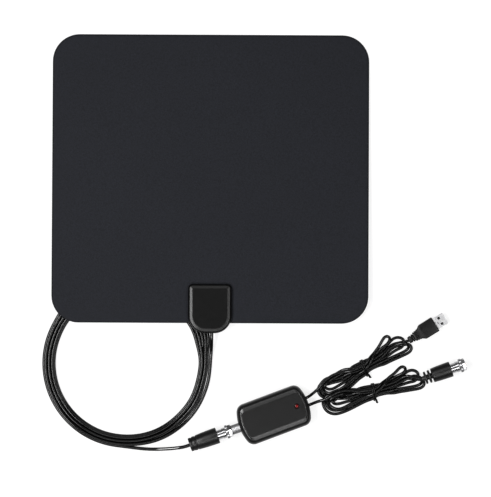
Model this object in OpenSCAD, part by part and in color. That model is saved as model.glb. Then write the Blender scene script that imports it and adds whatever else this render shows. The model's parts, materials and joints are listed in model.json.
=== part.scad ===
// Flat indoor TV antenna with an in-line signal amplifier.
// Lies face up on a table: X to the right, Y towards the far edge, Z up.
// The far edge of the panel rests on the table and its near edge is propped
// on the coiled coax, so the panel leans by a degree and a half.

/* [Panel] */
// Width of the panel
panel_w = 316; // [312:1:320]
// Height of the panel, measured along its own face
panel_h = 288; // [284:1:290]
// Radius of the panel's corners
panel_r = 27; // [20:1:32]
// Thickness of each outer film
film_t = 0.4; // [0.3:0.05:0.5]
// Thickness of the aluminium foil elements
foil_t = 0.1; // [0.05:0.05:0.15]
// Lean of the panel in degrees
panel_tilt = 1.6; // [1.5:0.1:1.8]

/* [Junction box] */
// Width of the junction box
box_w = 43.4; // [42:0.2:45]
// Height of the junction box along the panel
box_h = 48.7; // [47:0.1:50]
// How far the junction box reaches past the panel's near edge
box_over = 9.8; // [9:0.1:11]
// How far the front cover stands proud of the panel
box_front = 5.6; // [5.2:0.1:6.4]
// How far the rear cover stands proud behind the panel
box_rear = 2.5; // [2.2:0.1:2.6]
// Wall thickness of both box covers
box_wall = 1.4; // [1.2:0.1:1.6]

/* [Coax lead] */
// Diameter of the coax between the panel and the amplifier
coax_d = 3.3; // [3:0.1:3.3]
// Inner radius of the coil
coil_ri = 71.5; // [71:0.5:72]
// Outer radius of the coil
coil_ro = 84.8; // [84:0.1:85]
// Height of the coil where its turns lie two deep
coil_h = 6.3; // [6:0.1:6.4]

/* [Amplifier] */
// Length of the amplifier case, between the crowns of its bowed ends
amp_l = 69.2; // [68:0.2:70]
// Width of the amplifier case
amp_w = 42.6; // [41:0.2:44]
// Thickness of the amplifier case
amp_t = 18; // [17.5:0.1:19]
// Wall thickness of the amplifier case
amp_wall = 1.8; // [1.5:0.1:2]
// Diameter of the indicator lamp
led_d = 5; // [4:0.1:5]

/* [Screw-on coax plugs] */
// Outside diameter of the 3/8-32 threaded socket barrel
barrel_d = 9.5; // [9.4:0.1:9.5]
// Width across the flats of the coupling nuts
nut_af = 11; // [10.8:0.1:11.2]
// Diameter of the round grip ring on the coupling nuts
nut_ring_d = 13.8; // [13:0.1:14]
// Diameter of the centre pins
pin_d = 0.9; // [0.8:0.05:1]

/* [Power plug] */
// Width of the power plug's metal shell
usb_w = 12; // [12:0.1:12.1]
// Thickness of the power plug's metal shell
usb_t = 4.5; // [4.4:0.1:4.5]
// Length of the power plug's metal shell
usb_l = 11.75; // [11.5:0.05:12]
// Diameter of the power lead
usb_cord_d = 2.9; // [2.8:0.1:3]
// Diameter of the coax to the television
tv_cord_d = 3; // [2.9:0.1:3.1]
// Height of each tied hank of cord
hank_h = 9; // [8.4:0.1:9.2]

/* [Hidden] */

panel_t = 2 * film_t + foil_t;      // total laminate thickness
far_y = 204.5;                      // far edge of the panel on the table
coil_c = [-82.5, -124];             // centre of the coil
axis_a = 19.6;                      // heading of the amplifier and its mated plug
amp_c = [64.5, -175.2];             // centre of the amplifier
// front of the mated plug's boot, in line with the amplifier
plug_c = amp_c - 59.6 * [cos(axis_a), sin(axis_a)];
axis_z = 9;                         // height of the socket axis
usb_c = [225.1, -83.4];             // front of the power plug's overmould
usb_a = 32.3;                       // its heading
usb_z = 4;                          // height of its axis
tvp_c = [240.9, -128.1];            // front of the free plug's boot
tvp_a = 19.4;                       // its heading
tvp_z = 7.5;                        // height of its axis
hank_u = [154.7, -127.9, 24.8];     // tie of the power cord's hank, and its heading
hank_t = [164.1, -151.6, 10.2];     // tie of the television cord's hank, and its heading
pins = [[-15, 30], [15, 30], [-15, 9], [15, 9]]; // locating pins of the front cover

// Routes of the cords, one ring of the tube at each point.
lead_route = [[2, -84, 8.7], [2, -88.5, 8.8], [2, -93.2, 8.9], [2, -97.5, 8.4], [1.9, -103, 6.6],
    [1.7, -109, 4.2], [1.4, -114.5, 2.4], [1, -119.5, 1.8], [0.6, -124, 1.7], [0.3, -130, 1.7]];
fold_route = [[-90, -44.6, 1.7], [-82.5, -44.2, 1.7], [-75, -43.4, 1.7], [-67.5, -40.6, 1.7], [-61.2, -35.8, 1.7],
    [-57, -29, 1.7], [-56, -21.5, 1.7], [-58.5, -14, 1.7], [-64, -8.6, 1.7], [-71, -6, 1.7], [-79, -6.2, 1.7],
    [-87, -8.8, 1.7], [-95, -12.8, 1.7], [-103, -18, 1.7], [-111, -24.4, 1.7], [-118.5, -31.6, 1.7],
    [-125.6, -39.4, 1.7], [-132, -47.4, 1.7], [-138, -55.6, 1.7], [-143.4, -63.6, 1.7], [-148.4, -71.8, 1.7],
    [-152.8, -80, 1.7]];
tail_route = [[-93, -206.4, 1.7], [-84.4, -207.3, 1.7], [-74, -208.7, 1.7], [-64, -209.7, 2.1], [-54, -209.9, 3.1],
    [-45, -209.4, 5], [-37, -208.8, 7], [-30, -207.9, 8.4], [-24.5, -206.8, 9], [-19.25, -205.02, 9], [-14, -203.15, 9]];
power_in_route = [[92.16, -160.47, 8.8], [95.18, -159.4, 8.8], [98.8, -157.4, 8.4], [103.6, -153.6, 6.8], [108.6, -149, 5.2],
    [114, -144.4, 4.6]];
power_out_route = [[188, -103.8, 6], [192, -102.8, 5.4], [196, -101.7, 4.4], [201, -98.6, 4]];
tv_in_route = [[94.74, -167.72, 8.4], [97.76, -166.65, 8.4], [101.4, -165.2, 8], [106.2, -162.8, 6.6], [111.2, -160.6, 5.2],
    [117, -158.4, 4.6]];
tv_out_route = [[203, -137.6, 5.8], [207.4, -137.2, 6.6], [211.2, -136.8, 7.2], [216, -136.8, 7.5]];

// Outline of a tied hank, about its tie, with the cord leaving along +X.
hank_outline = [[-52.2, -6], [-51.6, -11.6], [-49, -15.4], [-44.5, -17.2], [-38, -17.4], [-31, -16.8], [-16, -11],
    [-5, -6.6], [4, -6], [16, -6], [28, -6.2], [38, -6.8], [45, -6], [50.6, -4.2], [53, -1.2], [52, 3], [50, 8.6],
    [46.6, 13.4], [42, 16.2], [37, 17.2], [35.4, 20.6], [32, 21.8], [28.6, 20.6], [24, 17.2], [18, 13.2], [12, 9.8],
    [6, 8.2], [-3, 7], [-12, 7], [-20, 7.8], [-30, 8.4], [-38, 7.8], [-45, 5.2], [-50, 1]];

// ---- helpers ----------------------------------------------------------

// A closed skin over rings of equal length, each ring counter-clockwise
// when seen from the end that the rings run towards.
module skin(rings) {
    n = len(rings[0]);
    m = len(rings);
    polyhedron(points = [for (r = rings) for (p = r) p],
        faces = concat([[for (i = [0:n - 1]) i]],
            [for (k = [0:m - 2]) for (i = [0:n - 1])
                [k * n + i, (k + 1) * n + i, (k + 1) * n + (i + 1) % n, k * n + (i + 1) % n]],
            [[for (i = [0:n - 1]) m * n - 1 - i]]));
}

function unit(v) = v / norm(v);
// The 8-sided ring of a cord of diameter d at point i of a route.
function cord_ring(r, i, d) =
    let (t = unit(r[min(i + 1, len(r) - 1)] - r[max(i - 1, 0)]),
         s = unit(cross([0, 0, 1], t)), u = cross(t, s))
    [for (a = [0:45:315]) r[i] + d / 2 * (cos(a) * s + sin(a) * u)];
module cord(route, d) skin([for (i = [0:len(route) - 1]) cord_ring(route, i, d)]);

// An arc of k+1 points about c, from angle a to angle b.
function arc(c, r, a, b, k) = [for (i = [0:k]) c + r * [cos(a + (b - a) * i / k), sin(a + (b - a) * i / k)]];

// Outline of the junction box: square shoulders above, a round chin below, pulled in by i.
function box_outline(i = 0) =
    let (w = box_w / 2 - i, y0 = -box_over + i, y1 = box_h - box_over - i,
         rb = 18 - i, rt = max(4.6 - i, 0.8))
    concat(arc([w - rb, y0 + rb], rb, -90, 0, 8), arc([w - rt, y1 - rt], rt, 0, 90, 4),
        arc([-w + rt, y1 - rt], rt, 90, 180, 4), arc([-w + rb, y0 + rb], rb, 180, 270, 8));

// Outline of the amplifier: straight sides, bowed ends, round corners, pulled in by i.
function amp_outline(i = 0) =
    let (l = amp_l / 2 - i, w = amp_w / 2 - i, rc = 8.2 - i * 0.7, rb = 76,
         cx = l - rb, cy = w - rc, q = asin(cy / (rb - rc)), px = cx + (rb - rc) * cos(q))
    concat([for (a = [-q:q / 3:q + 0.01]) [cx + rb * cos(a), rb * sin(a)]],
        [for (k = [1:6]) let (a = q + (90 - q) * k / 6) [px + rc * cos(a), cy + rc * sin(a)]],
        [for (k = [0:5]) let (a = 90 + (90 - q) * k / 6) [-px + rc * cos(a), cy + rc * sin(a)]],
        [for (a = [180 - q:q / 3:180 + q + 0.01]) [-cx + rb * cos(a), rb * sin(a)]],
        [for (k = [1:6]) let (a = 180 + q + (90 - q) * k / 6) [-px + rc * cos(a), -cy + rc * sin(a)]],
        [for (k = [0:5]) let (a = 270 + (90 - q) * k / 6) [px + rc * cos(a), -cy + rc * sin(a)]]);

function at_z(pts, z) = [for (p = pts) [p[0], p[1], z]];

// A rounded rectangle across the X axis, of half width w, half thickness t and corner radius r.
function slab_ring(x, w, t, r) =
    let (q = concat(arc([w - r, -t + r], r, -90, 0, 4), arc([w - r, t - r], r, 0, 90, 4),
        arc([-w + r, t - r], r, 90, 180, 4), arc([-w + r, -t + r], r, 180, 270, 4)))
    [for (p = q) [x, p[0], p[1]]];

// Places its children in the panel's own frame: near edge on Y=0, back face on Z=0.
module on_panel() translate([0, far_y, 0]) rotate([-panel_tilt, 0, 0]) translate([0, -panel_h, 0]) children();
// Places its children along an axis that lies level: +X forwards.
module on_axis(c, a, z) translate([c[0], c[1], z]) rotate([0, 0, a]) children();
module on_amp() on_axis(amp_c, axis_a, 0) children();
// A round bar along +X from x0 to x1.
module bar(x0, x1, d, fn = 48) translate([x0, 0, 0]) rotate([0, 90, 0]) cylinder(h = x1 - x0, d = d, $fn = fn);

module panel_outline() {
    square([panel_w, panel_h - 2 * panel_r], center = true);
    square([panel_w - 2 * panel_r, panel_h], center = true);
    for (x = [-1, 1], y = [-1, 1]) translate([x * (panel_w / 2 - panel_r), y * (panel_h / 2 - panel_r)]) circle(r = panel_r, $fn = 96);
}
module pin_holes(d) for (p = pins) translate(p) circle(d = d, $fn = 24);

// One half of the printed dipole: a tapering wing with a loop of foil behind it and a feed strip down to the box.
module foil_shape() {
    difference() {
        union() {
            polygon([[10, 118], [10, 96], [128, 60], [138, 60], [138, 232], [128, 232]]);
            translate([10, 96]) square([6, 22]);
        }
        polygon([[60, 128], [60, 110], [118, 92], [118, 196]]);
    }
    // feed strip
    polygon([[10, 97], [10, 40], [5, 34], [5, 17], [13, 17], [13, 33], [18, 40], [18, 97]]);
}
// Windows in the front film, where the contacts press on the foil.
module contact_windows() for (x = [-1, 1]) translate([x * 9, 22.5]) square([7, 8], center = true);

// ---- panel ------------------------------------------------------------

module front_film() {
    color([0.17, 0.175, 0.19]) on_panel() difference() {
        translate([0, panel_h / 2, film_t]) linear_extrude(film_t + foil_t) panel_outline();
        translate([0, 0, film_t - 0.01]) linear_extrude(foil_t + 0.01) { foil_shape(); mirror([1, 0]) foil_shape(); }
        translate([0, 0, film_t - 0.5]) linear_extrude(2) { pin_holes(2.6); contact_windows(); }
    }
}
module back_film() {
    color([0.12, 0.12, 0.13]) on_panel() difference() {
        translate([0, panel_h / 2, 0]) linear_extrude(film_t) panel_outline();
        translate([0, 0, -0.5]) linear_extrude(2) pin_holes(2.6);
    }
}
module foil_element_right() {
    color([0.8, 0.81, 0.83]) on_panel() translate([0, 0, film_t]) linear_extrude(foil_t) foil_shape();
}
module foil_element_left() {
    color([0.8, 0.81, 0.83]) on_panel() translate([0, 0, film_t]) linear_extrude(foil_t) mirror([1, 0]) foil_shape();
}

// ---- junction box -----------------------------------------------------

box_top = panel_t + box_front;
box_cable_z = 0.6;
board_z = panel_t + 1.1;

module box_cable_hole() translate([2, -box_over - 1, box_cable_z]) rotate([-90, 0, 0]) cylinder(h = 8, d = 5.4, $fn = 32);

module box_front_cover() {
    color([0.12, 0.12, 0.12]) on_panel() difference() {
        union() {
            difference() {
                skin([for (s = [[0, 0.25], [0.3, 0], [2.6, 0.25], [3.5, 0.9], [4.1, 1.9], [box_front - 0.35, 4], [box_front - 0.05, 4.7], [box_front, 5.6]])
                    at_z(box_outline(s[1]), panel_t + s[0])]);
                translate([0, 0, panel_t - 1]) linear_extrude(box_front - 0.5) polygon(box_outline(5.2));
                translate([0, 0, panel_t - 1]) linear_extrude(3.4) polygon(box_outline(2.2));
            }
            for (p = pins) translate([p[0], p[1], -1.2]) cylinder(h = panel_t + 5.9, d = 2.4, $fn = 24);
        }
        box_cable_hole();
    }
}
module box_rear_cover() {
    color([0.12, 0.12, 0.12]) on_panel() difference() {
        union() {
            translate([0, 0, -box_rear]) linear_extrude(0.8) polygon(box_outline(0.8));
            translate([0, 0, -box_rear + 0.8]) linear_extrude(box_rear - 0.8) polygon(box_outline(0));
            // lip that closes the box below the panel's edge
            translate([0, 0, -0.01]) linear_extrude(panel_t + 0.01) intersection() {
                polygon(box_outline(0));
                translate([-40, -40]) square([80, 39.8]);
            }
        }
        // pocket behind the panel
        translate([0, 0, -box_rear + box_wall - 0.2]) linear_extrude(4) difference() {
            polygon(box_outline(2.2));
            for (p = pins) translate(p) circle(d = 5, $fn = 24);
        }
        translate([0, 0, -1.25]) linear_extrude(4) pin_holes(2.4);
        box_cable_hole();
    }
}
module matching_board() {
    color([0.1, 0.35, 0.2]) on_panel() translate([0, 0, board_z]) linear_extrude(0.8) difference() {
        translate([-13.5, 2]) square([27, 26]);
        pin_holes(3.4);
    }
}
module balun_core() {
    color([0.2, 0.2, 0.21]) on_panel() translate([0, 14, board_z + 0.8]) difference() {
        translate([-3, -2.4, 0]) cube([6, 4.8, 2.2]);
        for (x = [-1.3, 1.3]) translate([x, -3, 1.1]) rotate([-90, 0, 0]) cylinder(h = 6, d = 1.1, $fn = 20);
    }
}
module balun_winding() {
    // enamelled wire threaded through both holes of the core and down to the board
    color([0.72, 0.4, 0.2]) on_panel() translate([0, 14, board_z + 0.8]) {
        for (x = [-1.3, 1.3]) translate([x, -3.2, 1.1]) rotate([-90, 0, 0]) cylinder(h = 6.4, d = 0.7, $fn = 16);
        for (y = [-3.2, 3.2]) translate([-1.65, y - 0.35, 0.75]) cube([3.3, 0.7, 0.7]);
        for (x = [-1.3, 1.3], y = [-3.2, 3.2]) translate([x - 0.35, y - 0.35, 0]) cube([0.7, 0.7, 1.1]);
    }
}
module foil_contacts() {
    // two spring strips from the board down through the film's windows to the foil
    color([0.8, 0.68, 0.4]) on_panel() for (x = [-1, 1]) translate([x * 9, 22.5, 0]) {
        translate([-1.5, -2.5, film_t + foil_t]) cube([3, 5, 0.3]);
        translate([-1.5, 2.2, film_t + foil_t]) cube([3, 0.3, board_z - film_t - foil_t]);
        translate([-1.5, -1.5, board_z - 0.3]) cube([3, 4, 0.3]);
    }
}
module box_cable_bush() {
    color([0.1, 0.1, 0.1]) on_panel() translate([2, -box_over + 0.3, box_cable_z]) rotate([-90, 0, 0]) difference() {
        union() {
            cylinder(h = 6, d = 5.4, $fn = 32);
            // ears that keep the bush from pulling out
            translate([-3.4, -1.5, 2.4]) cube([6.8, 3, 1]);
        }
        translate([0, 0, -1]) cylinder(h = 8, d = coax_d, $fn = 32);
    }
}

// ---- coax from the box to the amplifier ---------------------------------

module coax_lead() color([0.09, 0.09, 0.09]) cord(lead_route, coax_d);
module coax_fold() color([0.09, 0.09, 0.09]) cord(fold_route, coax_d);
module coax_tail() color([0.09, 0.09, 0.09]) cord(tail_route, coax_d);
module coax_coil() {
    // two deep all round, but spread flat where it passes under the junction box
    color([0.09, 0.09, 0.09]) translate([coil_c[0], coil_c[1], 0]) difference() {
        rotate_extrude($fn = 128) translate([coil_ri, 0]) square([coil_ro - coil_ri, coil_h]);
        translate([0, 0, 3.4]) linear_extrude(coil_h) polygon([for (p = [[20, -8.5], [100, -8.5], [120, 29], [100, 66], [20, 66]])
            p[0] * [cos(p[1]), sin(p[1])]]);
    }
}

// ---- screw-on coax plug, shared by the mated and the free one -----------
// Local frame: +X forwards along the axis, X=0 on the boot's front face.

module plug_body() {
    rotate([0, 90, 0]) rotate_extrude($fn = 64) polygon([[2.4, -7], [4.3, -7], [4.3, 0], [4.9, 0], [4.9, 5.2], [5.4, 5.2], [5.4, 8.4], [3.9, 8.4],
        [3.9, 9.8], [4.45, 9.8], [4.45, 11], [2.4, 11]]);
}
module plug_nut() difference() {
    union() {
        bar(8.8, 11.8, nut_ring_d, 64);
        translate([11.8, 0, 0]) rotate([30, 0, 0]) rotate([0, 90, 0]) cylinder(h = 3.1, d = nut_af / cos(30), $fn = 6);
    }
    bar(8, 16, 8.4, 64);
    bar(9.4, 16, 9.7, 64);
}
module plug_insulator() difference() {
    bar(-7, 11, 4.8);
    bar(-8, 12, pin_d + 0.6, 32);
}
// the pin is thicker where the insulator holds it, and its bare end starts at the insulator's face
module plug_pin() union() {
    bar(-7, 11, pin_d + 0.6, 32);
    bar(10, 15.6, pin_d, 32);
}

module coax_plug_boot() {
    color([0.12, 0.12, 0.12]) on_axis(plug_c, axis_a, axis_z) rotate([0, 90, 0]) rotate_extrude($fn = 64)
        polygon([[1.65, -29.3], [5.9, -29.3], [6.15, -29], [6.3, -26.9], [5.7, -26.7], [5.7, -25.7], [6.4, -25.5], [6.65, -22.9],
            [6.05, -22.7], [6.05, -21.6], [6.75, -21.4], [7.25, -15], [7.6, -8], [7.8, -0.4], [7.5, 0],
            [4.3, 0], [4.3, -7], [1.65, -7]]);
}
module coax_plug_body() color([0.75, 0.75, 0.76]) on_axis(plug_c, axis_a, axis_z) plug_body();
module coax_plug_nut() color([0.78, 0.78, 0.8]) on_axis(plug_c, axis_a, axis_z) plug_nut();
module coax_plug_insulator() color([0.92, 0.92, 0.9]) on_axis(plug_c, axis_a, axis_z) plug_insulator();
module coax_plug_pin() color([0.8, 0.55, 0.3]) on_axis(plug_c, axis_a, axis_z) plug_pin();

// ---- amplifier ----------------------------------------------------------

seam_z = 8;
amp_screws = [[-25, 14.5], [25, 14.5], [-25, -14.5], [25, -14.5]];
module amp_ports() {
    // holes through the end walls: the socket on the left, the two cords on the right
    translate([-36, 0, axis_z]) bar(-2, 12, barrel_d);
    translate([0, 4.6, 8.8]) bar(28, 38, 5, 32);
    translate([0, -3.1, 8.4]) bar(28, 38, 5, 32);
}
module amp_top_shell() {
    color([0.16, 0.16, 0.16]) on_amp() difference() {
        union() {
            difference() {
                skin([for (s = [[seam_z + 0.25, 0.2], [seam_z + 0.5, 0], [10.4, 0.1], [12.6, 0.7], [14.4, 1.8], [15.8, 3.2], [16.5, 4.2],
                    [amp_t - 0.3, 6.6], [amp_t - 0.05, 7.2], [amp_t, 8]]) at_z(amp_outline(s[1]), s[0])]);
                translate([0, 0, 6]) linear_extrude(6.6) polygon(amp_outline(amp_wall + 0.6));
                translate([0, 0, 6]) linear_extrude(amp_t - 6 - amp_wall) polygon(amp_outline(5.4));
            }
            for (p = amp_screws) translate([p[0], p[1], seam_z + 0.25]) cylinder(h = amp_t - seam_z - 3, d = 4.8, $fn = 32);
        }
        for (p = amp_screws) translate([p[0], p[1], seam_z - 1]) cylinder(h = 6.4, d = 2.2, $fn = 24);
        translate([23.9, 0.7, 12]) cylinder(h = 8, d = led_d, $fn = 32);
        amp_ports();
    }
}
module amp_bottom_shell() {
    color([0.15, 0.15, 0.15]) on_amp() difference() {
        union() {
            difference() {
                skin([for (s = [[0, 3.2], [0.3, 2.2], [1.2, 1.1], [2.8, 0.4], [5, 0.1], [seam_z - 0.3, 0], [seam_z, 0.2]]) at_z(amp_outline(s[1]), s[0])]);
                translate([0, 0, amp_wall]) linear_extrude(amp_t) polygon(amp_outline(amp_wall + 0.9));
            }
            for (p = amp_screws) translate([p[0], p[1], 0.5]) cylinder(h = seam_z - 0.25, d = 5.4, $fn = 32);
            // rests for the board
            for (x = [-14, 14], y = [-14, 14]) translate([x - 1.5, y - 1.5, 0.5]) cube([3, 3, 3.5]);
        }
        for (p = amp_screws) translate([p[0], p[1], -1]) cylinder(h = 12, d = 2.5, $fn = 24);
        for (p = amp_screws) translate([p[0], p[1], -1]) cylinder(h = 3.2, d = 4.6, $fn = 32);
        amp_ports();
    }
}
module amp_lamp() {
    color([0.75, 0.05, 0.05]) on_amp() translate([23.9, 0.7, 0]) {
        translate([0, 0, 13.2]) cylinder(h = 3, d = 4.9, $fn = 32);
        translate([0, 0, 16.2]) rotate_extrude($fn = 48) intersection() {
            circle(r = 2.45, $fn = 48);
            square([3, 3]);
        }
        translate([0, 0, 12.4]) cylinder(h = 0.8, d = 5.6, $fn = 32);
        for (x = [-1.27, 1.27]) translate([x - 0.25, -0.25, 5.6]) cube([0.5, 0.5, 6.8]);
    }
}
module amp_board() {
    color([0.1, 0.36, 0.2]) on_amp() translate([0, 0, 4]) linear_extrude(1.6) difference() {
        square([56, 35], center = true);
        for (x = [-1, 1], y = [-1, 1]) translate([x * 28, y * 17.5]) square(12.4, center = true);
        // clearance for the socket
        translate([-30, -6.8]) square([9.6, 13.6]);
    }
}
module amp_shield_can() {
    color([0.7, 0.7, 0.72]) on_amp() difference() {
        translate([-19, -9, 5.6]) cube([25, 18, 5.4]);
        translate([-18.6, -8.6, 5]) cube([24.2, 17.2, 5.6]);
    }
}
module amp_chip() {
    color([0.12, 0.12, 0.13]) on_amp() {
        translate([-9, -2, 5.75]) cube([5, 4, 1.5]);
        for (x = [-8.4, -7.1, -5.9, -4.6], s = [-1, 1]) translate([x - 0.2, s * 2.6 - 0.6, 5.6]) cube([0.4, 1.2, 0.2]);
    }
}
module amp_capacitors() {
    color([0.2, 0.25, 0.35]) on_amp() for (p = [[12, 11], [18, -11]]) translate([p[0], p[1], 5.6]) {
        cylinder(h = 5.4, d = 5, $fn = 32);
    }
}
module amp_choke() {
    color([0.35, 0.3, 0.26]) on_amp() translate([12, 0, 5.6]) {
        cylinder(h = 1, d = 7, $fn = 32);
        cylinder(h = 4.6, d = 4.4, $fn = 32);
        translate([0, 0, 3.6]) cylinder(h = 1, d = 7, $fn = 32);
    }
}
// The socket's parts use the plug's own frame, so the two are in line.
module amp_socket_barrel() {
    color([0.74, 0.74, 0.73]) on_axis(plug_c, axis_a, axis_z) difference() {
        union() {
            bar(11.2, 33.5, barrel_d, 64);
            bar(30.8, 32.8, 12, 6);
        }
        bar(10, 34, 6, 48);
    }
}
module amp_socket_insulator() {
    color([0.9, 0.9, 0.88]) on_axis(plug_c, axis_a, axis_z) difference() {
        bar(11.4, 33.5, 6, 48);
        bar(10, 34, 2.2, 32);
    }
}
module amp_socket_contact() {
    color([0.8, 0.65, 0.3]) on_axis(plug_c, axis_a, axis_z) difference() {
        bar(11.8, 36, 2.2, 32);
        bar(11, 19, 1.2, 32);
    }
}
module amp_case_screws() {
    color([0.6, 0.6, 0.62]) on_amp() for (p = amp_screws) translate([p[0], p[1], 0]) difference() {
        union() {
            translate([0, 0, 0.9]) cylinder(h = 1.3, d = 4.2, $fn = 32);
            translate([0, 0, 2.2]) cylinder(h = 10, d = 2.2, $fn = 24);
        }
        for (a = [0, 90]) rotate([0, 0, a]) translate([-1.2, -0.25, 0]) cube([2.4, 0.5, 1.5]);
    }
}
module bush(d) difference() {
    union() { bar(30.4, 34.2, 5, 32); bar(30.4, 31.3, 6.6, 32); }
    bar(30, 36, d, 32);
}
module amp_power_bush() color([0.1, 0.1, 0.1]) on_amp() translate([0, 4.6, 8.8]) bush(usb_cord_d);
module amp_tv_bush() color([0.1, 0.1, 0.1]) on_amp() translate([0, -3.1, 8.4]) bush(tv_cord_d);

// ---- the two tied cords -------------------------------------------------

module hank_plan(h) translate([h[0], h[1]]) rotate(h[2]) polygon(hank_outline);

module power_cord_in() color([0.1, 0.1, 0.1]) cord(power_in_route, usb_cord_d);
module power_cord_out() color([0.1, 0.1, 0.1]) cord(power_out_route, usb_cord_d);
module power_cord_hank() {
    color([0.1, 0.1, 0.1]) linear_extrude(hank_h) difference() {
        hank_plan(hank_u);
        hank_plan(hank_t);
    }
}
module tv_cord_in() color([0.1, 0.1, 0.1]) cord(tv_in_route, tv_cord_d);
module tv_cord_out() color([0.1, 0.1, 0.1]) cord(tv_out_route, tv_cord_d);
module tv_cord_hank() {
    color([0.1, 0.1, 0.1]) linear_extrude(hank_h) difference() {
        hank_plan(hank_t);
        // room for the plug's boot
        translate(tvp_c) rotate(tvp_a) translate([-31, -7]) square([30, 14]);
    }
}

// A twist tie wrapped twice over the hank, and its twisted tail.
module tie(h) translate([h[0], h[1], 0]) rotate([0, 0, h[2]]) {
    for (x = [-0.9, 1.9]) translate([x - 0.5, 0, 0]) {
        translate([0, -7.6, hank_h]) cube([1, 16.3, 0.9]);
        translate([0, 7.8, 0.2]) cube([1, 0.9, hank_h + 0.1]);
        translate([0, -7.6, 0.2]) cube([1, 0.9, hank_h + 0.1]);
    }
    translate([-1.4, 7.8, hank_h]) cube([3.8, 0.9, 0.9]);
    translate([-0.4, -9.6, hank_h - 1]) cube([1.6, 2.6, 1.6]);
}
module power_cord_tie() color([0.08, 0.08, 0.08]) tie(hank_u);
module tv_cord_tie() color([0.08, 0.08, 0.08]) tie(hank_t);

// ---- power plug -----------------------------------------------------------

module power_plug_overmould() {
    color([0.14, 0.14, 0.14]) on_axis(usb_c, usb_a, usb_z) difference() {
        skin([for (s = [[-31.2, 2.9, 2.6, 2], [-27.9, 3.5, 3, 2], [-27.8, 2.2, 2, 1.6], [-26.8, 2.2, 2, 1.6], [-26.7, 3.8, 3.2, 2],
            [-25.4, 3.9, 3.3, 2], [-25.3, 2.6, 2.4, 1.8], [-24.5, 2.6, 2.4, 1.8], [-24.4, 3.7, 3.3, 1.8], [-18.4, 4.85, 3.7, 1.6],
            [-15, 7.7, 4, 1.2], [-0.4, 7.85, 4, 1.2], [0, 7.5, 3.7, 1]]) slab_ring(s[0], s[1], s[2], s[3])]);
        bar(-40, -22, usb_cord_d, 32);
        translate([-6, -usb_w / 2, -usb_t / 2]) cube([8, usb_w, usb_t]);
    }
}
module power_plug_shell() {
    color([0.8, 0.8, 0.81]) on_axis(usb_c, usb_a, usb_z) difference() {
        translate([-6, -usb_w / 2, -usb_t / 2]) cube([usb_l + 6, usb_w, usb_t]);
        translate([-5.7, -usb_w / 2 + 0.3, -usb_t / 2 + 0.3]) cube([usb_l + 7, usb_w - 0.6, usb_t - 0.6]);
        for (y = [-3.2, 3.2]) translate([4.7, y - 1.2, -5]) cube([2.4, 2.4, 10]);
    }
}
// the tongue lies against the upper, seamed side, so the windows look onto its back, and its contacts face down
module power_plug_tongue() {
    color([0.12, 0.12, 0.12]) on_axis(usb_c, usb_a, usb_z) {
        translate([-5.7, -usb_w / 2 + 0.3, usb_t / 2 - 2.15]) cube([usb_l + 4.9, usb_w - 0.6, 1.85]);
    }
}
module power_plug_contacts() {
    color([0.85, 0.7, 0.35]) on_axis(usb_c, usb_a, usb_z)
        for (y = [-3.5, -1, 1, 3.5]) translate([-5, y - 0.5, usb_t / 2 - 2.35]) cube([abs(y) > 2 ? 15 : 14, 1, 0.2]);
}

// ---- free plug for the television -----------------------------------------

module tv_plug_boot() {
    color([0.12, 0.12, 0.12]) on_axis(tvp_c, tvp_a, tvp_z) rotate([0, 90, 0]) rotate_extrude($fn = 64)
        polygon([[1.5, -30.6], [2.3, -30.6], [2.6, -27.8], [6, -27.8], [6.25, -27.5], [6.35, -26.2], [6.1, -25.9], [2.7, -25.9],
            [2.8, -23.7], [6.2, -23.7], [6.45, -23.4], [6.5, -22], [6.2, -21.7], [2.9, -21.7], [3, -19.9], [6.6, -19.9], [6.9, -19.6],
            [7.2, -13], [7.4, -6], [7.45, -0.4], [7.2, 0], [4.3, 0], [4.3, -7], [1.5, -7]]);
}
module tv_plug_body() color([0.75, 0.75, 0.76]) on_axis(tvp_c, tvp_a, tvp_z) plug_body();
module tv_plug_nut() color([0.78, 0.78, 0.8]) on_axis(tvp_c, tvp_a, tvp_z) plug_nut();
module tv_plug_insulator() color([0.92, 0.92, 0.9]) on_axis(tvp_c, tvp_a, tvp_z) plug_insulator();
module tv_plug_pin() color([0.8, 0.55, 0.3]) on_axis(tvp_c, tvp_a, tvp_z) plug_pin();

front_film();
back_film();
foil_element_left();
foil_element_right();
box_front_cover();
box_rear_cover();
matching_board();
balun_core();
balun_winding();
foil_contacts();
box_cable_bush();
coax_lead();
coax_coil();
coax_fold();
coax_tail();
coax_plug_boot();
coax_plug_body();
coax_plug_nut();
coax_plug_insulator();
coax_plug_pin();
amp_top_shell();
amp_bottom_shell();
amp_lamp();
amp_board();
amp_shield_can();
amp_chip();
amp_capacitors();
amp_choke();
amp_socket_barrel();
amp_socket_insulator();
amp_socket_contact();
amp_case_screws();
amp_power_bush();
amp_tv_bush();
power_cord_in();
power_cord_hank();
power_cord_out();
power_cord_tie();
power_plug_overmould();
power_plug_shell();
power_plug_tongue();
power_plug_contacts();
tv_cord_in();
tv_cord_hank();
tv_cord_out();
tv_cord_tie();
tv_plug_boot();
tv_plug_body();
tv_plug_nut();
tv_plug_insulator();
tv_plug_pin();
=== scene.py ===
import bpy, bmesh, math, json
import numpy as np
from mathutils import Vector, Matrix


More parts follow.
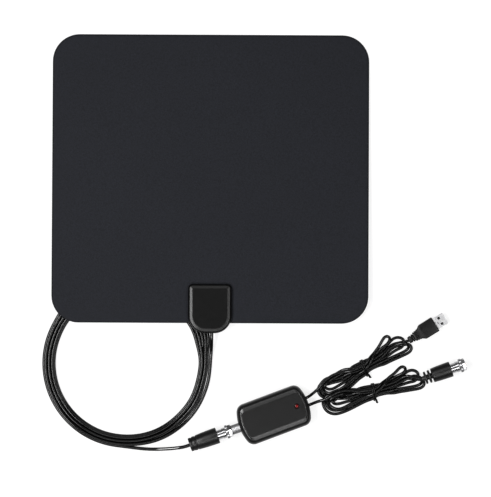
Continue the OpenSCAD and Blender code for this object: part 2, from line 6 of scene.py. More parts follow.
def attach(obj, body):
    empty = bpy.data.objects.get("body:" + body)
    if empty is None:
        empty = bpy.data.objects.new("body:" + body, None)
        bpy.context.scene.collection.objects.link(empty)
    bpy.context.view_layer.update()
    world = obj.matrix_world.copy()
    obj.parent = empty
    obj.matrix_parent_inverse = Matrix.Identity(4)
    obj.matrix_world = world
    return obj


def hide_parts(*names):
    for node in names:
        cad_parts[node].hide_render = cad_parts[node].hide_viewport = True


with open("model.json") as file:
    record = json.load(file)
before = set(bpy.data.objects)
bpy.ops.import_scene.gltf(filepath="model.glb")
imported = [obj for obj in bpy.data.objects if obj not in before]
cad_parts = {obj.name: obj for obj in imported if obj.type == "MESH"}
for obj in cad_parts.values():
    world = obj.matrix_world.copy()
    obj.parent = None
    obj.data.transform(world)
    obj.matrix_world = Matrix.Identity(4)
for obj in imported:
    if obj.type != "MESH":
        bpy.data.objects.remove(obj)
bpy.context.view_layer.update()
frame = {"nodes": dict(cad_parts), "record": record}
N = frame["nodes"]
MM = 0.001
scene = bpy.context.scene

# ---- the shared frame, in millimetres ----------------------------------------
FAR_Y = 204.5
TILT = math.radians(1.6)
PANEL_H, PANEL_W, PANEL_R, PANEL_T = 288.0, 316.0, 27.0, 0.9
COIL_C = (-82.5, -124.0)
AXIS_A = math.radians(19.6)
AMP_C = (64.5, -175.2)
PLUG_C = (AMP_C[0] - 59.6 * math.cos(AXIS_A), AMP_C[1] - 59.6 * math.sin(AXIS_A))
AXIS_Z = 9.0
USB_C, USB_A, USB_Z = (225.1, -83.4), math.radians(32.3), 4.0
TVP_C, TVP_A, TVP_Z = (240.9, -128.1), math.radians(19.4), 7.5
HANK_U = (154.7, -127.9, 24.8)
HANK_T = (164.1, -151.6, 10.2)
COAX_D, USB_D, TV_D = 3.3, 2.9, 3.0


def on_axis(c, a, z):
    """Millimetres along a level axis to metres in the row frame."""
    return Matrix.Translation((c[0] * MM, c[1] * MM, z * MM)) @ Matrix.Rotation(a, 4, "Z") @ Matrix.Scale(MM, 4)


def on_panel():
    return Matrix.Translation((0, FAR_Y * MM, 0)) @ Matrix.Rotation(-TILT, 4, "X") @ Matrix.Translation((0, -PANEL_H * MM, 0)) @ Matrix.Scale(MM, 4)


# ---- materials ------------------------------------------------------------------

def srgb(*c):
    """An sRGB colour from 0 to 255 as linear light."""
    out = []
    for v in c:
        v = v / 255
        out.append(v / 12.92 if v <= 0.04045 else ((v + 0.055) / 1.055) ** 2.4)
    return (*out, 1.0)


class Mat:
    """A small builder of node materials. Scales are in waves per metre."""

    def __init__(self, name):
        self.m = bpy.data.materials.new(name)
        self.m.use_nodes = True
        self.t = self.m.node_tree
        self.b = self.t.nodes["Principled BSDF"]
        self.co = self.node("ShaderNodeTexCoord").outputs["Object"]

    def node(self, kind, **sets):
        n = self.t.nodes.new(kind)
        for k, v in sets.items():
            setattr(n, k, v)
        return n

    def put(self, socket, value):
        if isinstance(value, bpy.types.NodeSocket):
            self.t.links.new(value, socket)
        else:
            socket.default_value = value

    def noise(self, scale, detail=2.0, rough=0.5, stretch=None, at=None):
        n = self.node("ShaderNodeTexNoise")
        co = at or self.co
        if stretch:
            mp = self.node("ShaderNodeMapping")
            mp.inputs["Scale"].default_value = stretch
            self.put(mp.inputs["Vector"], co)
            co = mp.outputs["Vector"]
        self.put(n.inputs["Vector"], co)
        n.inputs["Scale"].default_value = scale
        n.inputs["Detail"].default_value = detail
        n.inputs["Roughness"].default_value = rough
        return n.outputs["Fac"]

    def cells(self, scale, feature="F1", out="Distance"):
        n = self.node("ShaderNodeTexVoronoi", feature=feature)
        self.put(n.inputs["Vector"], self.co)
        n.inputs["Scale"].default_value = scale
        return n.outputs[out]

    def ramp(self, fac, stops):
        n = self.node("ShaderNodeValToRGB")
        self.put(n.inputs["Fac"], fac)
        e = n.color_ramp.elements
        e[0].position, e[0].color = stops[0]
        e[1].position, e[1].color = stops[-1]
        for p, c in stops[1:-1]:
            x = e.new(p)
            x.color = c
        return n.outputs["Color"]

    def range(self, v, a, b, c, d):
        n = self.node("ShaderNodeMapRange")
        self.put(n.inputs["Value"], v)
        for k, x in zip(("From Min", "From Max", "To Min", "To Max"), (a, b, c, d)):
            n.inputs[k].default_value = x
        return n.outputs["Result"]

    def math(self, op, a, b=0.0, c=0.0):
        n = self.node("ShaderNodeMath", operation=op)
        self.put(n.inputs[0], a)
        self.put(n.inputs[1], b)
        if op in ("MULTIPLY_ADD", "SMOOTH_MIN", "SMOOTH_MAX"):
            self.put(n.inputs[2], c)
        return n.outputs[0]

    def mix(self, fac, a, b, blend="MIX"):
        n = self.node("ShaderNodeMix", data_type="RGBA", blend_type=blend)
        self.put(n.inputs["Factor"], fac)
        self.put(n.inputs["A"], a)
        self.put(n.inputs["B"], b)
        return n.outputs["Result"]

    def bump(self, height, strength, distance, normal=None):
        n = self.node("ShaderNodeBump")
        self.put(n.inputs["Height"], height)
        n.inputs["Strength"].default_value = strength
        n.inputs["Distance"].default_value = distance
        if normal is not None:
            self.put(n.inputs["Normal"], normal)
        return n.outputs["Normal"]

    def done(self, color, rough, normal=None, metal=0.0, spec=0.5, coat=0.0, coat_rough=0.1):
        self.put(self.b.inputs["Base Color"], color)
        self.put(self.b.inputs["Roughness"], rough)
        self.b.inputs["Metallic"].default_value = metal
        self.b.inputs["Specular IOR Level"].default_value = spec
        self.b.inputs["Coat Weight"].default_value = coat
        self.b.inputs["Coat Roughness"].default_value = coat_rough
        if normal is not None:
            self.put(self.b.inputs["Normal"], normal)
        return self.m


def shade(c, k):
    return (c[0] * k, c[1] * k, c[2] * k, 1.0)


def moulded(name, c, rough=0.5, spec=0.35, grain=1400, depth=0.00003, strength=0.35, vary=0.14, gloss=0.06):
    """Moulded plastic: a fine spark-eroded grain, slow colour drift and a little uneven gloss."""
    m = Mat(name)
    slow = m.noise(45, 3)
    fine = m.noise(grain, 3, 0.6)
    col = m.ramp(slow, [(0.3, shade(c, 1 - vary)), (0.7, shade(c, 1 + vary))])
    col = m.mix(m.range(fine, 0.3, 0.7, 0.0, 0.25), col, shade(c, 0.7))
    r = m.range(m.noise(220, 3), 0.3, 0.7, rough - gloss * 0.8, rough + gloss)
    return m.done(col, r, m.bump(fine, strength, depth), spec=spec)


def jacket(name, c, rough=0.27, spec=0.6):
    """Extruded cord jacket: smooth and glossy, with a faint fine bump, slow colour drift and dull patches."""
    m = Mat(name)
    slow = m.noise(60, 3)
    fine = m.noise(900, 3, 0.6)
    col = m.ramp(slow, [(0.3, shade(c, 0.8)), (0.7, shade(c, 1.25))])
    r = m.range(m.noise(90, 3, 0.5), 0.3, 0.7, rough - 0.02, rough + 0.03)
    return m.done(col, r, m.bump(fine, 0.02, 0.00002), spec=spec)


def metal(name, c, rough=0.18, grain=900, vary=0.06, strength=0.08, dirt=None, spread=(0.7, 1.5)):
    m = Mat(name)
    slow = m.noise(120, 4, 0.6)
    fine = m.noise(grain, 4, 0.65)
    col = m.ramp(slow, [(0.25, shade(c, 1 - vary * 2)), (0.75, shade(c, 1 + vary))])
    if dirt:
        col = m.mix(m.range(m.noise(260, 3), 0.6, 0.75, 0.0, 0.5), col, dirt)
    r = m.range(fine, 0.25, 0.75, rough * spread[0], rough * spread[1])
    return m.done(col, r, m.bump(fine, strength, 0.00002), metal=1.0)


def film(name, c):
    """The panel's film: a fine pebbled grain like leather, matte, with a pressed line round its edge in relief and a
    painted shade darkening the colour along it.
    """
    m = Mat(name)
    peb = m.cells(620, "SMOOTH_F1")
    fine = m.noise(1500, 3, 0.65)
    slow = m.noise(9, 3, 0.55)
    height = m.math("ADD", m.math("MULTIPLY", peb, 0.8), m.math("MULTIPLY", fine, 0.6))
    col = m.ramp(slow, [(0.3, shade(c, 0.94)), (0.7, shade(c, 1.08))])
    col = m.mix(m.range(peb, 0.15, 0.65, 0.0, 0.5), col, shade(c, 0.45))
    col = m.mix(m.range(fine, 0.42, 0.72, 0.0, 0.6), col, shade(c, 2.2))
    # how far a point is inside the rounded outline
    sep = m.node("ShaderNodeSeparateXYZ")
    m.put(sep.inputs[0], m.co)
    hx, hy, r = PANEL_W / 2 * MM, PANEL_H / 2 * MM, PANEL_R * MM
    cy = (FAR_Y - PANEL_H / 2 * math.cos(TILT)) * MM
    qx = m.math("SUBTRACT", m.math("ABSOLUTE", sep.outputs[0]), hx - r)
    qy = m.math("SUBTRACT", m.math("ABSOLUTE", m.math("SUBTRACT", sep.outputs[1], cy)), hy - r)
    ox, oy = m.math("MAXIMUM", qx, 0.0), m.math("MAXIMUM", qy, 0.0)
    out = m.math("SQRT", m.math("ADD", m.math("MULTIPLY", ox, ox), m.math("MULTIPLY", oy, oy)))
    inn = m.math("MINIMUM", m.math("MAXIMUM", qx, qy), 0.0)
    d = m.math("SUBTRACT", m.math("ADD", out, inn), r)
    # painted shade: the colour darkens toward the outline as if the rolled edge fell into shade; only the bump below
    # gives that edge real relief
    edge_shade = m.range(d, -0.0019, -0.0005, 0.0, 0.75)
    col = m.mix(edge_shade, col, shade(c, 0.3))
    n = m.bump(height, 0.55, 0.00012)
    n = m.bump(m.range(d, -0.0026, -0.0008, 1.0, 0.0), 0.35, 0.0006, n)
    return m.done(col, m.range(fine, 0.3, 0.7, 0.62, 0.78), n, spec=0.22)


M = {
    "textured_film": film("film_textured", srgb(30, 31.5, 36.5)),
    "back_film": moulded("film_back", srgb(34, 35, 38), 0.65, 0.25, 900),
    "aluminium_foil": metal("foil", (0.83, 0.84, 0.86, 1), 0.24, 300),
    "box_plastic": moulded("box_plastic", srgb(11, 11, 11), 0.32, 0.36, 1200, strength=0.15, vary=0.06, gloss=0.015),
    "circuit_board": moulded("board", srgb(22, 84, 48), 0.35, 0.5, 700),
    "ferrite": moulded("ferrite", srgb(52, 50, 50), 0.6, 0.4, 900),
    "copper": metal("copper", (0.83, 0.46, 0.26, 1), 0.22),
    "gold_spring": metal("gold_spring", (0.88, 0.7, 0.36, 1), 0.2),
    "bush_rubber": moulded("bush_rubber", srgb(22, 22, 22), 0.7, 0.25, 700),
    "coax_jacket": jacket("coax_jacket", srgb(3, 3, 3), 0.11, 0.55),
    "power_jacket": jacket("power_jacket", srgb(6, 6, 6), 0.27, 0.42),
    "tv_jacket": jacket("tv_jacket", srgb(6, 6, 6), 0.26, 0.42),
    "boot_plastic": moulded("boot_plastic", srgb(15, 15, 15), 0.38, 0.56, 1100, strength=0.3),
    "nickel": metal("nickel", (0.5, 0.5, 0.51, 1), 0.2, 700, 0.04, 0.05),
    "nickel_satin": metal("nickel_satin", (0.28, 0.28, 0.285, 1), 0.5, 600, 0.05, 0.05),
    "usb_plastic": moulded("usb_plastic", srgb(9, 9, 9), 0.4, 0.4, 1100, strength=0.25, vary=0.1),
    "insulator": moulded("insulator", srgb(226, 226, 220), 0.4, 0.5, 500),
    "amp_plastic": moulded("amp_plastic", srgb(18.5, 18.5, 18.5), 0.3, 0.68, 1300, strength=0.12, vary=0.06, gloss=0.02),
    "tinned_steel": metal("tinned_steel", (0.66, 0.66, 0.667, 1), 0.33, 500, 0.03, 0.02, spread=(0.92, 1.1)),
    "steel_dark": metal("steel_dark", (0.16, 0.16, 0.165, 1), 0.42, 500, 0.05, 0.04),
    "chip_black": moulded("chip", srgb(24, 24, 26), 0.55, 0.4, 900),
    "capacitor": moulded("capacitor", srgb(40, 48, 70), 0.3, 0.5, 500),
    "tie_plastic": moulded("tie_plastic", srgb(5, 5, 5), 0.4, 0.45, 1100),
}


LAMP = (64.3 + 24.6 * math.cos(math.radians(20.8)) - 0.6 * math.sin(math.radians(20.8)), -174.65 + 24.6 * math.sin(math.radians(20.8)) + 0.6 * math.cos(math.radians(20.8)))


def lamp_mat():
    """A red lens: a painted highlight in its middle, fading to a painted shade of deep red toward the rim."""
    m = Mat("lamp_red")
    sep = m.node("ShaderNodeSeparateXYZ")
    m.put(sep.inputs[0], m.co)
    dx = m.math("SUBTRACT", sep.outputs[0], LAMP[0] * MM)
    dy = m.math("SUBTRACT", sep.outputs[1], LAMP[1] * MM)
    r = m.math("SQRT", m.math("ADD", m.math("MULTIPLY", dx, dx), m.math("MULTIPLY", dy, dy)))
    r = m.math("ADD", m.math("MULTIPLY", r, 1 / (2.5 * MM)), m.math("MULTIPLY", m.math("SUBTRACT", m.noise(900, 2), 0.5), 0.1))
    # painted highlight and painted shade: bright red at the lens centre, darkening toward the rim by distance from it
    col = m.ramp(r, [(0.0, srgb(168, 34, 30)), (0.28, srgb(108, 8, 9)), (0.62, srgb(58, 3, 4)), (1.0, srgb(26, 2, 3))])
    return m.done(col, m.range(m.noise(500, 2), 0.3, 0.7, 0.16, 0.24), m.bump(m.noise(700, 2), 0.04, 0.00002), spec=0.3)


M["lamp_red"] = lamp_mat()

# ---- meshes ------------------------------------------------------------------------

def add_mesh(name, verts, faces, mat, matrix=None, smooth=True, sharp=32):
    me = bpy.data.meshes.new(name)
    me.from_pydata([tuple(v) for v in verts], [], faces)
    if matrix is not None:
        me.transform(matrix)
    me.validate()
    bm = bmesh.new()
    bm.from_mesh(me)
    bmesh.ops.remove_doubles(bm, verts=bm.verts, dist=2e-6)
    bmesh.ops.recalc_face_normals(bm, faces=bm.faces)
    bm.to_mesh(me)
    bm.free()
    o = bpy.data.objects.new(name, me)
    scene.collection.objects.link(o)
    me.materials.append(mat)
    for p in me.polygons:
        p.use_smooth = smooth
    if smooth and sharp:
        me.set_sharp_from_angle(angle=math.radians(sharp))
    return o


def rings_mesh(rings, cap0=True, cap1=True):
    """Vertices and faces of a skin over closed rings of equal length."""
    n = len(rings[0])
    v = [p for r in rings for p in r]
    f = []
    for k in range(len(rings) - 1):
        for i in range(n):
            j = (i + 1) % n
            f.append((k * n + i, k * n + j, (k + 1) * n + j, (k + 1) * n + i))
    if cap0:
        f.append(tuple(range(n)))
    if cap1:
        f.append(tuple((len(rings) - 1) * n + i for i in range(n)))
    return v, f


def lathe(profile, fn=72, wobble=None):
    """A closed turned form along +X from (x, r) points that start and end on any radius."""
    rings = []
    for x, r in profile:
        ring = []
        for i in range(fn):
            a = 2 * math.pi * i / fn
            rr = r if wobble is None else wobble(x, r, a)
            ring.append((x, rr * math.cos(a), rr * math.sin(a)))
        rings.append(ring)
    return rings_mesh(rings)


def tube_profile(outer, inner):
    """The (x, r) points of a turned tube: out along the outside and back along the bore."""
    return outer + inner[::-1] + [outer[0]]


def lathe_open(profile, fn=72, wobble=None):
    v, f = [], []
    for x, r in profile:
        for i in range(fn):
            a = 2 * math.pi * i / fn
            rr = r if wobble is None else wobble(x, r, a)
            v.append((x, rr * math.cos(a), rr * math.sin(a)))
    for k in range(len(profile) - 1):
        for i in range(fn):
            j = (i + 1) % fn
            f.append((k * fn + i, k * fn + j, (k + 1) * fn + j, (k + 1) * fn + i))
    return v, f


def rounded(profile, r=0.25, steps=3):
    """Rounds the corners of an open (x, r) profile."""
    out = [profile[0]]
    for a, b, c in zip(profile, profile[1:], profile[2:]):
        a, b, c = np.array(a, float), np.array(b, float), np.array(c, float)
        u, w = a - b, c - b
        lu, lw = np.linalg.norm(u), np.linalg.norm(w)
        if lu < 1e-6 or lw < 1e-6:
            out.append(tuple(b))
            continue
        k = min(r, lu * 0.45, lw * 0.45)
        p, q = b + u / lu * k, b + w / lw * k
        for s in range(steps + 1):
            t = s / steps
            out.append(tuple((1 - t) ** 2 * p + 2 * t * (1 - t) * b + t * t * q))
    out.append(profile[-1])
    return out


def arc(cx, cy, r, a, b, k):
    return [(cx + r * math.cos(math.radians(a + (b - a) * i / k)), cy + r * math.sin(math.radians(a + (b - a) * i / k))) for i in range(k + 1)]


def joined(*parts):
    v, f = [], []
    for pv, pf in parts:
        o = len(v)
        v += list(pv)
        f += [tuple(i + o for i in q) for q in pf]
    return v, f


# ---- routes ---------------------------------------------------------------------------

def smooth_line(P, step):
    """A centripetal Catmull-Rom line through P, in even steps."""
    P = np.array(P, float)
    E = np.vstack([2 * P[0] - P[1], P, 2 * P[-1] - P[-2]])
    out = []
    for i in range(len(P) - 1):
        p0, p1, p2, p3 = E[i:i + 4]
        t0 = 0.0
        t1 = t0 + np.linalg.norm(p1 - p0) ** 0.5
        t2 = t1 + np.linalg.norm(p2 - p1) ** 0.5
        t3 = t2 + np.linalg.norm(p3 - p2) ** 0.5
        t = np.linspace(t1, t2, 24, endpoint=False)[:, None]
        A1 = (t1 - t) / (t1 - t0) * p0 + (t - t0) / (t1 - t0) * p1
        A2 = (t2 - t) / (t2 - t1) * p1 + (t - t1) / (t2 - t1) * p2
        A3 = (t3 - t) / (t3 - t2) * p2 + (t - t2) / (t3 - t2) * p3
        B1 = (t2 - t) / (t2 - t0) * A1 + (t - t0) / (t2 - t0) * A2
        B2 = (t3 - t) / (t3 - t1) * A2 + (t - t1) / (t3 - t1) * A3
        out.append((t2 - t) / (t2 - t1) * B1 + (t - t1) / (t2 - t1) * B2)
    out.append(P[-1:])
    return even(np.vstack(out), step)


def even(Q, step):
    s = np.r_[0, np.cumsum(np.linalg.norm(np.diff(Q, axis=0), axis=1))]
    t = np.linspace(0, s[-1], max(2, int(round(s[-1] / step))) + 1)
    return np.stack([np.interp(t, s, Q[:, k]) for k in range(3)], 1)


def settle(chains, fixed, iters=240, hold=0.03, keepz=0.0, grav=0.02, bend=0.45):
    """Pushes cords apart where they touch, keeps their lengths and rests them on the floor.
    chains is a list of (points, diameter), and fixed how many points stay put at each end."""
    P = np.vstack([c[0] for c in chains])
    T = P.copy()
    cid = np.concatenate([[k] * len(c[0]) for k, c in enumerate(chains)])
    R = np.concatenate([[c[1] / 2] * len(c[0]) for c in chains])
    same = cid[1:] == cid[:-1]
    L = np.linalg.norm(P[1:] - P[:-1], axis=1)
    step = np.median(L)
    fix = np.zeros(len(P), bool)
    s = 0
    for (c, _), (a, b) in zip(chains, fixed):
        fix[s:s + a] = True
        fix[s + len(c) - b:s + len(c)] = True
        s += len(c)
    free = (~fix)[:, None]
    ok3 = np.zeros(len(P), bool)
    ok3[1:-1] = same[1:] & same[:-1]
    for it in range(iters):
        if it % 8 == 0:
            reach = 2.2 * R.max() + step
            D2 = ((P[:, None, :2] - P[None, :, :2]) ** 2).sum(2)
            I, J = np.where(np.triu(D2 < reach * reach, 1))
            keep = (cid[I] != cid[J]) | (np.abs(I - J) * step > 3.2 * (R[I] + R[J]))
            I, J = I[keep], J[keep]
        P[:, :2] += free * hold * (1 - 0.6 * it / iters) * (T[:, :2] - P[:, :2])
        if keepz:
            P[:, 2:] += free * keepz * (T[:, 2:] - P[:, 2:])
        P[:, 2] -= (~fix) * grav
        mid = np.zeros_like(P)
        mid[1:-1] = (P[2:] + P[:-2]) / 2 - P[1:-1]
        lap = np.where(ok3[:, None], mid, 0)
        l2 = np.zeros_like(P)
        l2[1:-1] = (lap[2:] + lap[:-2]) / 2 - lap[1:-1]
        P -= free * bend * np.where(ok3[:, None], l2, 0)
        for rep in range(2):
            d = P[I] - P[J]
            t = np.zeros_like(P)
            t[1:-1] = P[2:] - P[:-2]
            t[0], t[-1] = P[1] - P[0], P[-1] - P[-2]
            t /= np.linalg.norm(t, axis=1)[:, None] + 1e-9
            dot = (t[I] * t[J]).sum(1)
            tm = t[I] + np.sign(dot)[:, None] * t[J]
            par = np.abs(dot)
            tm /= np.linalg.norm(tm, axis=1)[:, None] + 1e-9
            al = (d * tm).sum(1)
            near = np.abs(al) < 0.75 * step + (1 - par) * 2 * R[I]
            dd = d - np.where(par > 0.85, al, 0)[:, None] * tm
            n = np.linalg.norm(dd, axis=1)
            pen = (R[I] + R[J]) - n
            m = (pen > 0) & near & (n > 1e-6)
            push = dd[m] / n[m][:, None] * (pen[m] * 0.3)[:, None]
            acc, cnt = np.zeros_like(P), np.zeros(len(P))
            np.add.at(acc, I[m], push)
            np.add.at(acc, J[m], -push)
            np.add.at(cnt, I[m], 1)
            np.add.at(cnt, J[m], 1)
            P += free * acc / np.maximum(cnt, 1)[:, None] * 1.4
            P[:, 2] = np.maximum(P[:, 2], R)
        for rep in range(3):
            e = P[1:] - P[:-1]
            n = np.linalg.norm(e, axis=1)
            c = np.where(same, (n - L) / n, 0)[:, None] * e * 0.45
            A = np.zeros_like(P)
            A[:-1] += c
            A[1:] -= c
            P += free * A * 0.9
    out, s = [], 0
    for c, _ in chains:
        out.append(P[s:s + len(c)])
        s += len(c)
    return out


def coax_route():
    """From the junction box down into the coil, six turns clockwise, out of its top behind the panel,
    back round the left side in the outermost lane and away along the floor to the plug."""
    up, lo = 4.5, 1.65
    pts = [(2, -84, 8.7), (2, -88.5, 8.8), (2, -93.2, 8.9), (2, -97.5, 8.4), (1.9, -103, 6.8), (1.7, -109, 4.5), (1.4, -114.5, 2.7)]
    R = []

    def leg(k, items):
        for phi, r, z in items:
            R.append((k * 360 + phi, r, z))

    top = {1: 81.45, 2: 78.15, 3: 74.85}
    low = {4: 73.2, 5: 76.5, 6: 79.8}
    for k in range(1, 7):
        q = k - 1
        # coming out of the flat stretch under the box
        if k == 1:
            leg(q, [(-2, 83.1, 1.75), (12, 83.1, lo), (30, 83.1, lo), (45, 83.0, 1.9), (62, 82.6, 3.4), (80, 81.5, 4.5)])
        elif k in top:
            leg(q, [(2, top[k], up), (30, top[k], up), (60, top[k], up), (85, top[k], up)])
        else:
            leg(q, [(2, low[k], lo), (30, low[k], lo), (60, low[k], lo), (85, low[k], lo)])
        r, z = (top[k], up) if k in top else (low[k], lo)
        leg(q, [(110, r, z), (135, r, z), (160, r, z), (185, r, z), (211, r, z), (235, r, z)])
        if k == 6:
            leg(q, [(252, r, z)])
            break
        leg(q, [(258, r, z)])
        # into the flat stretch, where the turns lie side by side
        if k == 5:
            leg(q, [(272, 76.7, lo), (281, 79.5, lo), (290, 83.6, lo), (300, 86.2, lo), (310, 86.7, lo)])
        if k == 4:
            leg(q, [(280, 73.3, lo), (290, 75.2, lo), (300, 78.6, lo), (309, 80.0, lo)])
        if k == 3:
            leg(q, [(280, 74.8, 4.9), (292, 74.5, 4.9), (303, 73.8, 3.2), (312, 73.5, lo)])
        if k == 2:
            leg(q, [(280, 78.1, 4.95), (292, 77.8, 5.0), (305, 77.0, 4.0), (315, 76.8, lo)])
        if k == 1:
            leg(q, [(270, 81.4, 4.95), (282, 81.6, 5.0), (295, 82.6, 4.6), (308, 83.3, 2.4), (316, 83.4, lo)])
        flat = {3: 73.5, 2: 76.8, 4: 80.1, 1: 83.4, 5: 86.7}[k]
        leg(q, [(326, flat, lo), (336, flat, lo)])
        # and out of it, stacked again two deep
        nr, nz = (top[k + 1], up) if k + 1 in top else (low[k + 1], lo)
        h = 3.3
        leg(q, [(344, flat + (nr - flat) * 0.45, lo + (nz - lo) * 0.25), (352, flat + (nr - flat) * 0.9, lo + (nz - lo) * 0.85)])
    for phi, r, z in R:
        a = math.radians(-phi)
        pts.append((COIL_C[0] + r * math.cos(a), COIL_C[1] + r * math.sin(a), z))
    pts += [(-90, -44.6, 1.7), (-82.5, -44.2, 1.7), (-75, -43.4, 1.7), (-67.5, -40.6, 1.7), (-61.2, -35.8, 1.7), (-57, -29, 1.7),
            (-56, -21.5, 1.7), (-58.5, -14, 1.7), (-64, -8.6, 1.7), (-71, -6, 1.7), (-79, -6.2, 1.7), (-87, -8.8, 1.7), (-95, -12.8, 1.7),
            (-103, -18, 1.7), (-111, -24.4, 1.7), (-118.5, -31.6, 1.7), (-125.6, -39.4, 1.7), (-132, -47.4, 1.7), (-138, -55.6, 1.7),
            (-143.4, -63.6, 1.7), (-148.4, -71.8, 1.7), (-152.8, -80, 1.7)]
    for phi in range(200, 99, -12):
        a = math.radians(-phi)
        pts.append((COIL_C[0] + 83.1 * math.cos(a), COIL_C[1] + 83.1 * math.sin(a), 1.65))
    pts += [(-93, -206.4, 1.65), (-84.4, -207.3, 1.65), (-74, -208.7, 1.7), (-64, -209.7, 2.1), (-54, -209.9, 3.1), (-45, -209.4, 5),
            (-37, -208.8, 7), (-30, -207.9, 8.4), (-24.5, -206.8, 9), (-19.25, -205.02, 9), (-14, -203.15, 9)]
    return pts


def hank(power):
    """A tied hank about its tie: (u, v, z), from the amplifier's side round four loops each way to the plug's side."""
    z0 = (7.4, 7.2, 7.0, 6.6) if power else (9.0, 8.6, 8.0, 7.2)
    zl = 1.5 if power else 4.6
    S = [(-43.9, 2.3, z0[0]), (-40, 4.4, z0[1]), (-35.5, 5.8, z0[2]), (-28, 6.4, z0[3]), (-20, 5.2, 6.6), (-12, 3.3, 6.8), (-4, 1.9, 6.8), (0, 1.9, 6.8),
         (5, 3.8, 6.8), (10, 6.6, 6.2), (15, 9.4, 4.8), (20, 12.4, 3.0), (24, 15.0, 1.8), (28, 17.6, 1.6), (31.4, 19.4, 2.2), (34.4, 19.5, 3.6), (35.8, 17.2, 4.6),
         (34.6, 14.7, 5.0), (31.8, 12.7, 5.0), (28, 11.3, 4.8), (24.3, 10.6, 4.8), (20.4, 9.3, 5), (16, 7.2, 5.6), (10.5, 4.0, 6.6), (5, 1.2, 7.0), (0, -1.0, 6.8)]
    S += [(-8, -2.6, 6.2), (-16, -5.2, 4.8), (-23.3, -7.9, 4.5), (-29.2, -9.7, 4.5), (-34.2, -10.9, 4.5), (-39.2, -10.8, 4.5), (-43.1, -9.1, 4.5),
          (-45.6, -6.3, 4.5), (-46.2, -3, 4.5), (-45, 0.2, 4.6), (-42, 2.4, 5.4), (-37, 3.4, 5.4), (-30, 3.4, 4.6), (-22, 3.9, 3), (-14, 4.7, 1.6), (-6, 5.0, 1.5), (0, 5.0, 1.5)]
    S += [(8, 5.1, 1.5), (16, 5.4, 1.5), (22, 6.7, 1.5), (26, 8.5, 1.5), (29.2, 10.6, 1.5), (32, 12.7, 1.5), (35.4, 14.4, 1.5), (39.4, 14.9, 1.5), (43.5, 13.7, 1.5),
          (46.4, 11.3, 1.5), (47.2, 8.7, 1.5), (45.6, 6.3, 1.5), (42.4, 4.8, 1.5), (38, 3.9, 1.5), (32, 2.7, 1.5), (25, 1.6, 1.5), (17, 0.6, 1.5), (8, -0.5, 1.5), (0, -1, 1.5)]
    S += [(-8, -1.9, 1.5), (-17, -3.2, 1.5), (-26, -4.4, 1.5), (-33, -5.4, 1.5), (-38.5, -5.5, 1.5), (-42.2, -3.6, 1.5), (-43.6, -0.4, 1.5), (-42, 2.5, 1.5),
          (-37.6, 3.8, 1.5), (-30, 3.2, 1.6), (-20, 1.8, 2.8), (-10, 0.7, 4), (0, 0.5, 4.1)]
    S += [(8, 1.1, 4.2), (16, 2.5, 4.4), (22.5, 4.4, 4.5), (28.3, 6.6, 4.5), (33.3, 7.9, 4.5), (38.3, 8.0, 4.5), (43.0, 7.2, 5.8 if power else 4.6),
          (47.0, 5.6, 6.8 if power else 4.6), (49.5, 3.0, 5.6 if power else 4.6), (49.4, 0.5, 4.6), (46.4, -0.9, 4.5), (40.3, -1.4, 4.5), (34.4, -1.8, 4.5),
          (28.7, -1.9, 4.5), (20, -1.2, 4.4), (10, -1.0, 4.2), (0, -1.9, 4.1)]
    S += [(-6, -3.6, 3.6), (-11.7, -5.3, 2.4), (-19.2, -7.8, 1.6), (-27.5, -10.2, 1.5), (-34.2, -11.3, 1.5), (-39.6, -11.3, 1.5), (-43.4, -9.7, 1.6),
          (-46.4, -7.2, 2.4), (-48.9, -4.4, 4.0), (-50.0, -1.8, 4.6), (-48.2, 0.8, 4.6), (-43.5, 1.8, 4.4), (-36, 0.2, 4.0), (-28, -1.2, 3.6), (-20, -0.8, 2.6), (-11, 0.9, 1.6), (0, 2, 1.5)]
    S += [(8, 2.4, 1.5), (16, 3.1, 1.5), (22.5, 4.6, 1.5), (28.3, 6.4, 1.5), (33.3, 7.4, 1.5), (38.3, 7.4, 1.5), (43.0, 6.9, 3), (47.2, 5.4, 4), (50.0, 2.4, 2.4),
          (51.4, -0.4, 1.5), (50.2, -2.9, 1.5), (46.2, -4.1, 1.5), (41, -4.5, 1.5), (35.5, -4.4, 1.5), (30, -4.1, 1.5), (25, -3.8, 1.5), (16, -3.6, 1.5), (8, -3.7, 1.5), (0, -3.9, 1.5)]
    S += [(-6, -5, 1.5), (-11.7, -6.6, 1.5), (-19.2, -9.5, 1.5), (-27.5, -12.6, 1.5), (-34.2, -14.6, 1.5), (-39.2, -15.3, 1.5), (-44.4, -14.4, 1.5), (-48.5, -11.8, 1.5),
          (-51, -8.2, 1.5), (-51.4, -4.8, 1.5), (-50.4, -1.4, zl), (-48, 1.8, zl), (-43.5, 4.0, zl), (-37, 5.2, zl), (-29, 5.6, zl), (-20, 5.2, 3.2), (-10, 4.1, 3.9), (0, 3.6, 4.1)]
    if power:
        S += [(8, 3.7, 4.1), (16, 4.2, 3.6), (22, 5.4, 2.6), (28, 7.4, 1.7), (33, 8.9, 1.7), (38, 9.2, 1.7), (43.3, 8.4, 2.6), (47.4, 7.3, 4.0)]
    else:
        S += [(8, 3.9, 4.1), (16, 4.4, 4.6), (22.5, 6.0, 5), (28.3, 7.8, 5.2), (33.3, 9.0, 5.6), (38.3, 8.9, 6.2), (43.0, 7.2, 7.2), (46.6, 5.4, 7.7)]
    return S


def placed(S, h):
    a = math.radians(h[2])
    c, s = math.cos(a), math.sin(a)
    return [(h[0] + u * c - v * s, h[1] + u * s + v * c, z) for u, v, z in S]


def along(c, a, z, t):
    return (c[0] + t * math.cos(a), c[1] + t * math.sin(a), z)


